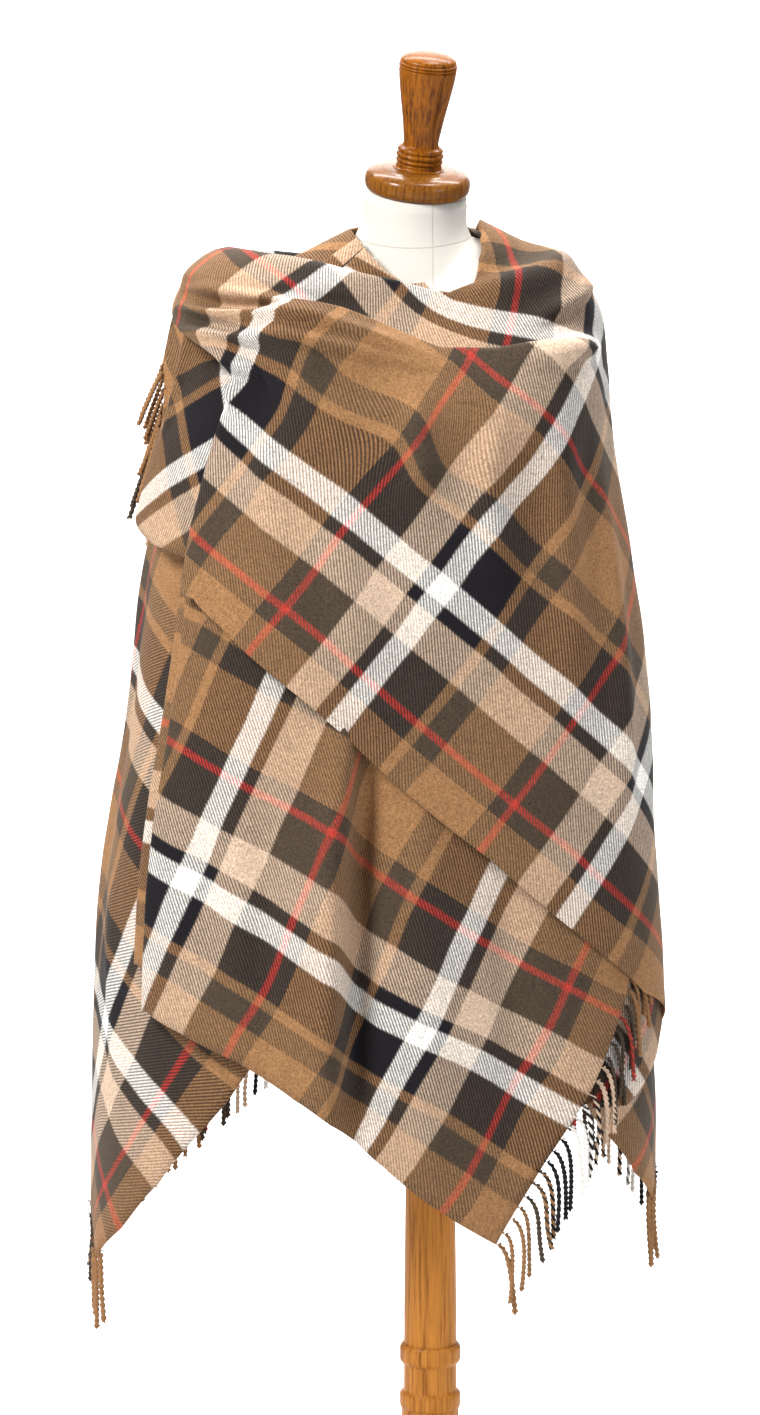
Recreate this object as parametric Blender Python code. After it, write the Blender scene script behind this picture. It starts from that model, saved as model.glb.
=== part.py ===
"""A woven wool ruana draped on a turned wooden dress form.

Metres, +Z up, the front of the form towards -Y. Lengths in the tables are metres and
angles are degrees: a turn of 0 faces the front, +90 the wearer's left and -90 the
wearer's right arm. The cloth is one woven length, slit up its front, so its pieces are
the stretches that show: the back, the two fronts and the end thrown over the shoulder.
"""

import math

import bpy
import numpy as np

# ---- driving sizes ---------------------------------------------------------------
CLOTH_WALL = 0.002
SEAM_GAP = 0.0004
FRINGE_REACH = 0.088
FRINGE_GAP = 0.0010
FORM_INSET = 0.0009

POST_RADIUS = 0.030
BASE_RADIUS = 0.180
BASE_THICKNESS = 0.034
TORSO_BOTTOM = 0.790

NECK_CENTRE = (-0.018, 0.000)
NECK_RADIUS = 0.061
NECK_DROP = 0.004
CAP_CENTRE_HEIGHT = 1.608
CAP_LEAN_FORWARD = 18.0
CAP_LEAN_SIDE = 5.0

# Rings of the draped surface from the neck opening to below the hem. Heights are at
# the side, the front and the back of each ring; the ring is an ellipse in plan.
RING_COLUMNS = ("side", "front", "back", "centre", "half_width", "front_depth", "back_depth")
DRAPE_RINGS = (
    (1.552, 1.490, 1.565, -0.020, 0.0685, 0.074, 0.068),
    (1.532, 1.455, 1.545, -0.018, 0.110, 0.088, 0.080),
    (1.508, 1.425, 1.515, -0.016, 0.155, 0.103, 0.097),
    (1.465, 1.388, 1.462, -0.018, 0.192, 0.120, 0.112),
    (1.400, 1.340, 1.390, -0.030, 0.212, 0.138, 0.122),
    (1.300, 1.265, 1.290, -0.045, 0.233, 0.152, 0.128),
    (1.180, 1.170, 1.180, -0.052, 0.257, 0.162, 0.134),
    (1.024, 1.024, 1.024, -0.053, 0.279, 0.172, 0.142),
    (0.879, 0.879, 0.879, -0.061, 0.296, 0.180, 0.150),
    (0.744, 0.744, 0.744, -0.062, 0.309, 0.188, 0.158),
    (0.576, 0.576, 0.576, -0.063, 0.315, 0.196, 0.168),
    (0.380, 0.380, 0.380, -0.066, 0.319, 0.202, 0.176),
)

# The form's own rings below the shoulders, where the cloth hangs clear of it.
FORM_COLUMNS = ("height", "half_width", "front_depth", "back_depth")
FORM_RINGS = (
    (1.330, 0.168, 0.112, 0.094),
    (1.250, 0.160, 0.122, 0.090),
    (1.150, 0.138, 0.104, 0.082),
    (1.060, 0.126, 0.092, 0.080),
    (0.960, 0.150, 0.104, 0.100),
    (0.880, 0.164, 0.110, 0.112),
    (0.810, 0.160, 0.106, 0.108),
)
FORM_CENTRE = -0.013

# Sections of each stretch of cloth, in the order the cloth runs. A section starts at
# "top" on the draped surface (None is the neck edge) at the turn "top_turn", fans out
# to "hem_turn" below "open_height", and ends at the height "hem". Lifts are how far
# the cloth lies outside the draped surface.
SECTION_COLUMNS = ("top_turn", "hem_turn", "top_lift", "hem_lift", "top", "hem", "open_height")
BACK_SECTIONS = (
    (-60.0, -17.0, 0.0020, 0.0010, None, 0.732, 1.19),
    (-66.0, -29.0, 0.0020, 0.0010, None, 0.616, 1.19),
    (-73.0, -48.0, 0.0020, 0.0010, None, 0.510, 1.19),
    (-80.0, -62.0, 0.0020, 0.0010, None, 0.452, 1.19),
    (-88.0, -80.0, 0.0020, 0.0010, None, 0.406, 1.19),
    (-98.0, -92.0, 0.0020, 0.0030, None, 0.431, 1.19),
    (-110.0, -104.0, 0.0020, 0.0130, None, 0.466, 1.19),
    (-121.0, -117.0, 0.0020, 0.0020, None, 0.507, 1.19),
    (-132.0, -131.0, 0.0020, -0.0080, None, 0.556, 1.19),
    (-144.0, -145.0, 0.0020, 0.0020, None, 0.604, 1.19),
    (-156.0, -158.0, 0.0020, 0.0160, None, 0.644, 1.19),
    (-168.0, -171.0, 0.0020, 0.0060, None, 0.664, 1.19),
    (-180.0, -184.0, 0.0020, -0.0060, None, 0.668, 1.19),
    (-192.0, -197.0, 0.0020, 0.0040, None, 0.660, 1.19),
    (-204.0, -210.0, 0.0020, 0.0170, None, 0.640, 1.19),
    (-216.0, -223.0, 0.0020, 0.0060, None, 0.610, 1.10),
    (-228.0, -236.0, 0.0020, -0.0050, None, 0.576, 1.00),
    (-240.0, -249.0, 0.0020, 0.0020, None, 0.542, 0.90),
    (-251.0, -262.0, 0.0020, 0.0040, None, 0.512, 0.80),
    (-259.0, -273.0, 0.0020, 0.0010, None, 0.488, 0.80),
    (-264.0, -281.0, 0.0020, 0.0000, None, 0.475, 0.80),
    (-267.0, -295.0, 0.0020, 0.0000, None, 0.512, 0.80),
    (-269.0, -313.0, 0.0020, 0.0000, None, 0.600, 0.80),
)
RIGHT_FRONT_SECTIONS = (
    (-43.0, -40.0, 0.0080, 0.0190, None, 0.702, 1.19),
    (-46.5, -48.2, 0.0080, 0.0198, None, 0.703, 1.19),
    (-47.7, -50.4, 0.0106, 0.0226, None, 0.704, 1.19),
    (-46.5, -48.6, 0.0134, 0.0258, None, 0.703, 1.19),
    (-41.0, -39.0, 0.0130, 0.0262, None, 0.684, 1.19),
    (-32.0, -26.0, 0.0110, 0.0210, None, 0.656, 1.19),
    (-24.0, -15.0, 0.0080, 0.0150, None, 0.619, 1.19),
    (-17.0, -8.0, 0.0060, 0.0180, None, 0.592, 1.19),
    (-11.0, -3.5, 0.0040, 0.0020, None, 0.571, 1.19),
    (-6.0, 2.0, 0.0030, 0.0040, None, 0.544, 1.19),
    (0.0, 9.6, 0.0025, 0.0080, None, 0.508, 1.19),
    (9.0, 17.0, 0.0025, 0.0060, None, 0.480, 1.19),
    (19.0, 24.6, 0.0025, 0.0050, 1.470, 0.456, 1.19),
    (30.0, 35.0, 0.0025, 0.0080, 1.420, 0.540, 1.10),
    (44.0, 46.5, 0.0034, 0.0128, 1.350, 0.618, 1.00),
    (56.0, 56.7, 0.0048, 0.0134, 1.280, 0.711, 1.00),
    (67.0, 66.0, 0.0056, 0.0132, 1.210, 0.820, 1.00),
    (75.0, 73.0, 0.0066, 0.0132, 1.160, 0.910, 1.00),
)
SIDE_FOLD_SECTIONS = (
    (-54.0, -45.0, 0.0041, 0.0066, None, 0.742, 1.19),
    (-59.0, -53.6, 0.0041, 0.0072, None, 0.748, 1.19),
    (-60.3, -56.0, 0.0068, 0.0100, None, 0.750, 1.19),
    (-59.0, -54.2, 0.0096, 0.0129, None, 0.750, 1.19),
    (-54.0, -46.0, 0.0102, 0.0138, None, 0.742, 1.19),
    (-50.0, -38.0, 0.0090, 0.0138, None, 0.732, 1.19),
)
LEFT_FRONT_SECTIONS = (
    (80.0, 48.0, 0.0064, 0.0062, None, 0.596, 0.80),
    (84.0, 59.0, 0.0064, 0.0066, None, 0.594, 0.80),
    (88.0, 71.0, 0.0066, 0.0070, None, 0.624, 0.80),
    (91.0, 81.0, 0.0074, 0.0078, None, 0.652, 0.80),
    (92.3, 84.0, 0.0096, 0.0112, None, 0.672, 0.80),
    (91.0, 81.6, 0.0122, 0.0150, None, 0.684, 0.80),
    (85.0, 74.0, 0.0120, 0.0185, None, 0.698, 0.80),
    (76.0, 63.0, 0.0075, 0.0190, None, 0.716, 0.90),
    (64.0, 49.0, 0.0045, 0.0185, None, 0.766, 1.00),
    (51.0, 35.0, 0.0045, 0.0180, None, 0.823, 1.10),
    (37.0, 24.0, 0.0080, 0.0170, 1.4800, 0.872, 1.19),
    (22.0, 13.0, 0.0100, 0.0160, 1.4750, 0.915, 1.19),
    (7.0, 2.0, 0.0120, 0.0170, 1.4790, 0.961, 1.19),
    (-9.0, -8.0, 0.0170, 0.0230, 1.4830, 1.007, 1.19),
    (-26.0, -17.0, 0.0270, 0.0320, 1.4860, 1.045, 1.25),
    (-44.0, -27.0, 0.0420, 0.0380, 1.4870, 1.083, 1.31),
    (-62.0, -36.0, 0.0580, 0.0430, 1.4850, 1.120, 1.35),
    (-80.0, -44.0, 0.0680, 0.0460, 1.4790, 1.148, 1.37),
    (-92.0, -47.5, 0.0700, 0.0455, 1.4750, 1.152, 1.37),
    (-95.0, -49.0, 0.0675, 0.0427, 1.4740, 1.154, 1.37),
    (-92.0, -47.0, 0.0645, 0.0397, 1.4750, 1.158, 1.37),
    (-80.0, -41.0, 0.0610, 0.0387, 1.4780, 1.168, 1.37),
)
THROWN_SECTIONS = (
    (-46.0, -40.0, 0.0161, 0.0315, 1.5000, 1.186, 1.19),
    (-58.0, -52.0, 0.0240, 0.0320, 1.4990, 1.192, 1.19),
    (-68.0, -65.0, 0.0420, 0.0340, 1.4930, 1.203, 1.19),
    (-76.0, -76.0, 0.0540, 0.0360, 1.4860, 1.222, 1.19),
    (-79.5, -79.6, 0.0545, 0.0345, 1.4830, 1.240, 1.19),
    (-82.0, -80.4, 0.0510, 0.0300, 1.4810, 1.265, 1.19),
    (-86.0, -84.5, 0.0520, 0.0290, 1.4780, 1.310, 1.19),
    (-91.0, -92.0, 0.0600, 0.0440, 1.4760, 1.388, 1.19),
    (-97.0, -99.0, 0.0600, 0.0280, 1.4760, 1.340, 1.19),
    (-104.0, -106.0, 0.0600, 0.0430, 1.4800, 1.290, 1.19),
    (-112.0, -115.0, 0.0540, 0.0240, 1.4870, 1.240, 1.19),
    (-121.0, -124.0, 0.0430, 0.0400, 1.4960, 1.190, 1.19),
    (-130.0, -134.0, 0.0290, 0.0200, 1.5060, 1.140, 1.19),
    (-139.0, -143.0, 0.0185, 0.0260, 1.5120, 1.090, 1.19),
)

# The swag fold across the left front: the height of its crest, how far the cloth turns
# over (180 is folded flat) and how long the hidden return is.
SWAG_COLUMNS = ("turn", "crest", "bend", "hidden")
SWAG_FOLD = (
    (-95.0, 1.4460, 0.0, 0.004),
    (-66.0, 1.4460, 0.0, 0.004),
    (-52.0, 1.4450, 30.0, 0.006),
    (-40.0, 1.4430, 70.0, 0.010),
    (-28.0, 1.4420, 140.0, 0.016),
    (-12.0, 1.4320, 175.0, 0.032),
    (8.0, 1.4180, 175.0, 0.032),
    (26.0, 1.4200, 165.0, 0.022),
    (44.0, 1.4270, 130.0, 0.012),
    (60.0, 1.4340, 60.0, 0.006),
    (76.0, 1.4380, 0.0, 0.004),
    (92.0, 1.4380, 0.0, 0.004),
)
BEND_LENGTH = 0.0125
SWAG_SPREAD = 0.20


# ---- the draped surface ----------------------------------------------------------
def smooth_rows(rows, at):
    """Rows of numbers read at fractional row numbers, on a curve through every row."""
    rows = np.asarray(rows, dtype=float)
    at = np.clip(np.asarray(at, dtype=float), 0.0, len(rows) - 1.0)
    k = np.minimum(at.astype(int), len(rows) - 2)
    f = (at - k)[..., None]
    before = rows[np.maximum(k - 1, 0)]
    here = rows[k]
    after = rows[k + 1]
    beyond = rows[np.minimum(k + 2, len(rows) - 1)]
    slope_here = (after - before) / 2
    slope_after = (beyond - here) / 2
    return (
        here * (2 * f**3 - 3 * f**2 + 1)
        + after * (3 * f**2 - 2 * f**3)
        + slope_here * (f**3 - 2 * f**2 + f)
        + slope_after * (f**3 - f**2)
    )


def drape_points(turn, ring):
    """Points of the draped surface at turns (radians) and fractional ring numbers."""
    side, front, back, centre, width, front_depth, back_depth = np.moveaxis(
        smooth_rows(DRAPE_RINGS, ring), -1, 0
    )
    sine = np.sin(turn)
    cosine = np.cos(turn)
    ahead = cosine > 0
    depth = np.where(ahead, front_depth, back_depth)
    end = np.where(ahead, front, back)
    return np.stack(
        [centre + width * sine, -depth * cosine, side + (end - side) * cosine**2], axis=-1
    )


def drape_normals(turn, ring):
    """Unit normals of the draped surface, pointing out."""
    step = 0.01
    across = drape_points(turn + step, ring) - drape_points(turn - step, ring)
    low = np.clip(ring + step, 0, len(DRAPE_RINGS) - 1)
    high = np.clip(ring - step, 0, len(DRAPE_RINGS) - 1)
    down = drape_points(turn, low) - drape_points(turn, high)
    normal = np.cross(down, across)
    return normal / np.linalg.norm(normal, axis=-1, keepdims=True)


RING_SAMPLES = np.linspace(0.0, len(DRAPE_RINGS) - 1.0, 441)


def ring_at(turn, height):
    """The ring number at which the draped surface has a height, at one turn each."""
    turn, height = np.broadcast_arrays(turn, height)
    found = np.empty(turn.shape)
    for place in np.ndindex(turn.shape):
        heights = drape_points(np.full(RING_SAMPLES.shape, turn[place]), RING_SAMPLES)[:, 2]
        found[place] = np.interp(-height[place], -heights, RING_SAMPLES)
    return found


def eased(value):
    value = np.clip(value, 0.0, 1.0)
    return value * value * (3 - 2 * value)


# ---- cloth -----------------------------------------------------------------------
OPENING_START = 1.46
LIFT_LEAD = 2.4  # layers part before they slide over each other
LIFT_OPEN = 1.19  # layers gathered above this height part no sooner than the others


def sections(rows, per_row):
    """A table of sections read per_row times between each pair of its rows."""
    full = []
    for row in rows:
        top_turn, hem_turn, top_lift, hem_lift, top, hem, open_height = row
        if top is None:
            top = drape_points(np.radians([top_turn]), np.array([0.0]))[0, 2]
        full.append((top_turn, hem_turn, top_lift, hem_lift, top, hem, open_height))
    at = np.linspace(0, len(rows) - 1, (len(rows) - 1) * per_row + 1)
    smooth = smooth_rows(full, at)
    straight = np.stack(
        [np.interp(at, np.arange(len(rows)), [r[c] for r in full]) for c in (4, 5)], axis=-1
    )
    smooth[:, 4:6] = straight
    return smooth


def place_column(section, heights, extra_lift):
    """Points down one section at the given heights, lifted off the draped surface."""
    top_turn, hem_turn, top_lift, hem_lift, _top, _hem, open_height = section
    below = OPENING_START - heights
    opened = below / (OPENING_START - open_height)
    settled = below / (OPENING_START - min(open_height, LIFT_OPEN)) * LIFT_LEAD
    turn = np.radians(top_turn + (hem_turn - top_turn) * eased(opened))
    lift = top_lift + (hem_lift - top_lift) * eased(settled) + extra_lift
    ring = ring_at(turn, heights)
    return drape_points(turn, ring) + drape_normals(turn, ring) * lift[:, None]


TOP_CROWDING = 1.25  # the points lie closer together over the shoulders


def plain_cloth(rows, steps, per_row=1):
    """A grid of points for a stretch that has no fold across it."""
    grid = []
    for section in sections(rows, per_row):
        top_ring = ring_at(np.radians(section[0]), section[4])
        hem_ring = ring_at(np.radians(section[1]), section[5])
        turn = np.full(steps + 1, np.radians(section[0]))
        shares = np.linspace(0.0, 1.0, steps + 1) ** TOP_CROWDING
        ring = top_ring + (hem_ring - top_ring) * shares
        heights = drape_points(turn, ring)[:, 2]
        heights[0] = section[4]
        heights[-1] = section[5]
        grid.append(place_column(section, heights, np.zeros(steps + 1)))
    return np.array(grid)


def swag_at(turn):
    turns = [row[0] for row in SWAG_FOLD]
    return [np.interp(turn, turns, [row[c] for row in SWAG_FOLD]) for c in (1, 2, 3)]


def swag_path(bend, hidden, steps):
    """Heights above the crest and lifts along a fold: down, back up, over and down."""
    length = 2 * BEND_LENGTH + hidden
    count = 40 * steps
    along = (np.arange(count) + 0.5) / count * length
    up = np.clip(along / BEND_LENGTH, 0, 1)
    down = np.clip((length - along) / BEND_LENGTH, 0, 1)
    heading = np.radians(bend) * np.minimum(up, down)
    piece = length / count
    height = np.concatenate([[0.0], np.cumsum(-np.cos(heading) * piece)])[::40]
    lift = np.concatenate([[0.0], np.cumsum(np.sin(heading) * piece)])[::40]
    back_half = height[len(height) // 2 :]
    return height - back_half.max(), lift


def swagged_cloth(rows, above_steps, fold_steps, below_steps, per_row=1):
    """A grid for the left front: plain above the swag, folded back under its crest."""
    grid = []
    for section in sections(rows, per_row):
        crest, bend, hidden = swag_at(section[0])
        fold, fold_lift = swag_path(bend, hidden, fold_steps)
        top = section[4]
        fold_height = min(crest, top - 0.012 - fold[0]) + fold
        above = np.linspace(top, fold_height[0], above_steps + 1)[:-1]
        below = np.linspace(fold_height[-1], section[5], below_steps + 1)[1:]
        gone = eased((fold_height[-1] - below) / SWAG_SPREAD)
        heights = np.concatenate([above, fold_height, below])
        lift = np.concatenate([above * 0, fold_lift, fold_lift[-1] * (1 - gone)])
        grid.append(place_column(section, heights, lift))
    return np.array(grid)


def fringe_cloth(rows, first, last, per_row=1):
    """The plain reach of a fringe below its hem, between two rows of a table."""
    chosen = sections(rows, per_row)[first * per_row : last * per_row + 1]
    shares = np.array([0.0, 0.5, 1.0])
    grid = []
    for section in chosen:
        heights = section[5] - FRINGE_GAP - shares * FRINGE_REACH
        grid.append(place_column(section, heights, np.zeros(len(shares))))
    return np.array(grid)


def grid_normals(grid):
    along = np.gradient(grid, axis=0)
    down = np.gradient(grid, axis=1)
    normal = np.cross(down, along)
    return normal / np.maximum(np.linalg.norm(normal, axis=-1, keepdims=True), 1e-12)


def wall(name, grid, thickness, material):
    """A closed wall with the grid's points on its middle."""
    normal = grid_normals(grid)
    count, steps = grid.shape[:2]
    outer = (grid + normal * thickness / 2).reshape(-1, 3)
    inner = (grid - normal * thickness / 2).reshape(-1, 3)
    base = count * steps
    faces = []
    for i in range(count - 1):
        for j in range(steps - 1):
            a, b = i * steps + j, (i + 1) * steps + j
            faces.append((a, a + 1, b + 1, b))
            faces.append((base + a, base + b, base + b + 1, base + a + 1))
    rim = [(i * steps, (i + 1) * steps) for i in range(count - 1)]
    rim += [((i + 1) * steps + steps - 1, i * steps + steps - 1) for i in range(count - 1)]
    rim += [(j + 1, j) for j in range(steps - 1)]
    last = (count - 1) * steps
    rim += [(last + j, last + j + 1) for j in range(steps - 1)]
    for a, b in rim:
        faces.append((a, b, base + b, base + a))
    return solid(name, np.concatenate([outer, inner]), faces, material)


def solid(name, points, faces, material):
    mesh = bpy.data.meshes.new(name)
    mesh.from_pydata([tuple(p) for p in points], [], faces)
    mesh.materials.append(material)
    thing = bpy.data.objects.new(name, mesh)
    bpy.context.scene.collection.objects.link(thing)
    return thing


def surface(name, colour, roughness):
    material = bpy.data.materials.new(name)
    material.use_nodes = True
    shader = material.node_tree.nodes["Principled BSDF"]
    shader.inputs["Base Color"].default_value = (*colour, 1.0)
    shader.inputs["Roughness"].default_value = roughness
    return material


# ---- the form and its stand ------------------------------------------------------
FORM_SIDES = 48


def loft(name, rings, material):
    """A closed solid through rings of points, capped flat at both ends."""
    sides = len(rings[0])
    faces = []
    for k in range(len(rings) - 1):
        for i in range(sides):
            j = (i + 1) % sides
            low, high = k * sides, (k + 1) * sides
            faces.append((low + i, low + j, high + j, high + i))
    faces.append(tuple(reversed(range(sides))))
    top = (len(rings) - 1) * sides
    faces.append(tuple(range(top, top + sides)))
    return solid(name, np.concatenate(rings), faces, material)


def leaning_axes(lean_forward, lean_side):
    """An axis that leans forward and to the side, and two directions across it."""
    forward, side = math.radians(lean_forward), math.radians(lean_side)
    axis = np.array([math.sin(side), -math.sin(forward), math.cos(forward) * math.cos(side)])
    axis /= np.linalg.norm(axis)
    first = np.cross(np.array([0.0, 1.0, 0.0]), axis)
    first /= np.linalg.norm(first)
    return axis, first, np.cross(axis, first)


def cap_frame():
    centre = np.array([NECK_CENTRE[0], NECK_CENTRE[1] - 0.004, CAP_CENTRE_HEIGHT])
    return centre, *leaning_axes(CAP_LEAN_FORWARD, CAP_LEAN_SIDE)


def torso_rings():
    """The form's rings from its base to the top of its neck."""
    turns = np.radians(np.arange(FORM_SIDES) * 360.0 / FORM_SIDES)
    sine, cosine = np.sin(turns), np.cos(turns)
    rings = []
    lowest = FORM_RINGS[-1]
    for height, share in ((TORSO_BOTTOM, 0.90), (TORSO_BOTTOM + 0.006, 0.97)):
        rings.append((height, lowest[1] * share, lowest[2] * share, lowest[3] * share))
    rings += list(reversed(FORM_RINGS))
    built = []
    for height, width, front, back in rings:
        depth = np.where(cosine > 0, front, back)
        built.append(
            np.stack(
                [FORM_CENTRE + width * sine, -depth * cosine, np.full(FORM_SIDES, height)],
                axis=-1,
            )
        )
    for ring in np.linspace(3.0, 0.8, 9):
        at = np.full(FORM_SIDES, ring)
        built.append(drape_points(turns, at) - drape_normals(turns, at) * FORM_INSET)
    neck = drape_points(turns, np.full(FORM_SIDES, 0.2))
    neck[:, 0] = NECK_CENTRE[0] + NECK_RADIUS * sine
    neck[:, 1] = NECK_CENTRE[1] - NECK_RADIUS * cosine
    neck[:, 2] -= NECK_DROP
    built.append(neck)
    centre, axis, first, second = cap_frame()
    for height, radius in ((-0.0260, NECK_RADIUS - 0.0035), (-0.0144, NECK_RADIUS - 0.0060)):
        spread = first * sine[:, None] - second * cosine[:, None]
        built.append(centre + axis * height + spread * radius)
    # the loft's faces point out when each ring runs the same way round, seen from above
    return built


def turned(name, profile, centre, axes, material, sides=36):
    """A turned piece: radius and height along an axis."""
    angles = np.radians(np.arange(sides) * 360.0 / sides)
    axis, first, second = axes
    rings = []
    for radius, height in profile:
        spread = first * np.cos(angles)[:, None] + second * np.sin(angles)[:, None]
        rings.append(np.array(centre) + axis * height + spread * radius)
    return loft(name, rings, material)


RING_RADIUS = 0.0345
LOWER_RING_HEIGHT = 0.235
UPPER_RING_HEIGHT = 0.288
POST_TOP = TORSO_BOTTOM - SEAM_GAP

POST_PROFILE = (
    (POST_RADIUS + 0.003, BASE_THICKNESS + SEAM_GAP),
    (POST_RADIUS + 0.003, LOWER_RING_HEIGHT - 0.010),
    (RING_RADIUS, LOWER_RING_HEIGHT - 0.007),
    (RING_RADIUS, LOWER_RING_HEIGHT + 0.007),
    (POST_RADIUS, LOWER_RING_HEIGHT + 0.010),
    (POST_RADIUS, UPPER_RING_HEIGHT - 0.013),
    (RING_RADIUS - 0.0015, UPPER_RING_HEIGHT - 0.010),
    (RING_RADIUS, UPPER_RING_HEIGHT),
    (RING_RADIUS - 0.0015, UPPER_RING_HEIGHT + 0.009),
    (POST_RADIUS, UPPER_RING_HEIGHT + 0.013),
    (POST_RADIUS - 0.002, 0.560),
    (POST_RADIUS - 0.002, POST_TOP),
)
BASE_PROFILE = (
    (BASE_RADIUS - 0.004, 0.0),
    (BASE_RADIUS, 0.004),
    (BASE_RADIUS, BASE_THICKNESS * 0.55),
    (BASE_RADIUS - 0.006, BASE_THICKNESS * 0.72),
    (BASE_RADIUS * 0.72, BASE_THICKNESS * 0.84),
    (POST_RADIUS + 0.026, BASE_THICKNESS * 0.92),
    (POST_RADIUS + 0.020, BASE_THICKNESS),
)
CAP_PROFILE = (
    (0.0520, -0.0140),
    (0.0570, -0.0095),
    (0.0585, -0.0030),
    (0.0570, 0.0040),
    (0.0500, 0.0095),
    (0.0400, 0.0125),
)
FINIAL_PROFILE = (
    (0.0285, 0.0129),
    (0.0262, 0.0142),
    (0.0250, 0.0156),
    (0.0250, 0.0165),
    (0.0232, 0.0185),
    (0.0262, 0.0220),
    (0.0262, 0.0260),
    (0.0228, 0.0285),
    (0.0205, 0.0345),
    (0.0222, 0.0475),
    (0.0262, 0.0755),
    (0.0304, 0.1055),
    (0.0325, 0.1210),
    (0.0325, 0.1295),
    (0.0288, 0.1347),
    (0.0170, 0.1391),
)


def main():
    for thing in list(bpy.data.objects):
        bpy.data.objects.remove(thing, do_unlink=True)
    camel = surface("camel wool", (0.39, 0.20, 0.07), 0.95)
    fringe = surface("fringe wool", (0.36, 0.20, 0.09), 0.95)
    canvas = surface("canvas", (0.78, 0.72, 0.62), 0.85)
    dark_wood = surface("stained wood", (0.16, 0.055, 0.018), 0.3)
    wood = surface("honey wood", (0.33, 0.13, 0.035), 0.4)

    loft("torso", torso_rings(), canvas)
    upright = leaning_axes(0.0, 0.0)
    turned("post", POST_PROFILE, (0.0, 0.0, 0.0), upright, wood, 24)
    turned("base", BASE_PROFILE, (0.0, 0.0, 0.0), upright, wood, 48)
    centre, *leaning = cap_frame()
    turned("neck_cap", CAP_PROFILE, centre, leaning, dark_wood)
    turned("finial", FINIAL_PROFILE, centre, leaning, dark_wood, 28)

    wall("ruana_back", plain_cloth(BACK_SECTIONS, 22), CLOTH_WALL, camel)
    wall("ruana_right_front", plain_cloth(RIGHT_FRONT_SECTIONS, 20), CLOTH_WALL, camel)
    wall("ruana_side_fold", plain_cloth(SIDE_FOLD_SECTIONS, 20), CLOTH_WALL, camel)
    wall("ruana_left_front", swagged_cloth(LEFT_FRONT_SECTIONS, 3, 12, 12), CLOTH_WALL, camel)
    wall("ruana_thrown_end", plain_cloth(THROWN_SECTIONS, 9), CLOTH_WALL, camel)
    wall("fringe_back", fringe_cloth(BACK_SECTIONS, 4, 20), CLOTH_WALL, fringe)
    wall("fringe_right_front", fringe_cloth(RIGHT_FRONT_SECTIONS, 12, 16), CLOTH_WALL, fringe)
    wall("fringe_thrown_end", fringe_cloth(THROWN_SECTIONS, 6, 13), CLOTH_WALL, fringe)


main()
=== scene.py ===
"""The looks of the ruana on its dress form: cloth, fringe, canvas and turned wood.

Metres, +Z up, the front of the form towards -Y. The tables of shapes give lengths in
millimetres and turns in degrees: 0 faces the front, +90 the form's left and -90 its
right. The drape's rings and sections repeat the solids' own.
"""

import math

import bpy
import numpy as np
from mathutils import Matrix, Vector, noise


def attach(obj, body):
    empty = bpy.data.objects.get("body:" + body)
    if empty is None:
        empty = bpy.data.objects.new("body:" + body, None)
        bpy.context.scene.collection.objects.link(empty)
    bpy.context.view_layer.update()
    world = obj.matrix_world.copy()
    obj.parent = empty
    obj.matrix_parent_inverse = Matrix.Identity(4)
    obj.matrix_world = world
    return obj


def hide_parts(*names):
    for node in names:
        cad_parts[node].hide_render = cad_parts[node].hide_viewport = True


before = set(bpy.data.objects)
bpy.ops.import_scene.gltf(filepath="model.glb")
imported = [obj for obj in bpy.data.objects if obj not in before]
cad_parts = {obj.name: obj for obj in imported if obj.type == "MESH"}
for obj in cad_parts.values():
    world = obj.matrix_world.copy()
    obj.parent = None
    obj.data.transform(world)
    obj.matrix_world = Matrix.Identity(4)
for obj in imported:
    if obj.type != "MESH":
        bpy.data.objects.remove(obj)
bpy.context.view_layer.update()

# ---- the draped surface, as in the solids
CLOTH_THICKNESS = 0.0018
FRINGE_REACH = 0.088
# Where sections start to turn and to lift, how much sooner the lift is complete, and how
# the points down a section crowd towards its top.
OPENING_START = 1.46
LIFT_LEAD = 2.4
LIFT_OPEN = 1.19
TOP_CROWDING = 1.25

# side, front, back, centre, half_width, front_depth, back_depth
DRAPE_RINGS = (
    (1552, 1490, 1565, -20, 68.5, 74, 68),
    (1532, 1455, 1545, -18, 110, 88, 80),
    (1508, 1425, 1515, -16, 155, 103, 97),
    (1465, 1388, 1462, -18, 192, 120, 112),
    (1400, 1340, 1390, -30, 212, 138, 122),
    (1300, 1265, 1290, -45, 233, 152, 128),
    (1180, 1170, 1180, -52, 257, 162, 134),
    (1024, 1024, 1024, -53, 279, 172, 142),
    (879, 879, 879, -61, 296, 180, 150),
    (744, 744, 744, -62, 309, 188, 158),
    (576, 576, 576, -63, 315, 196, 168),
    (380, 380, 380, -66, 319, 202, 176),
)

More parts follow.
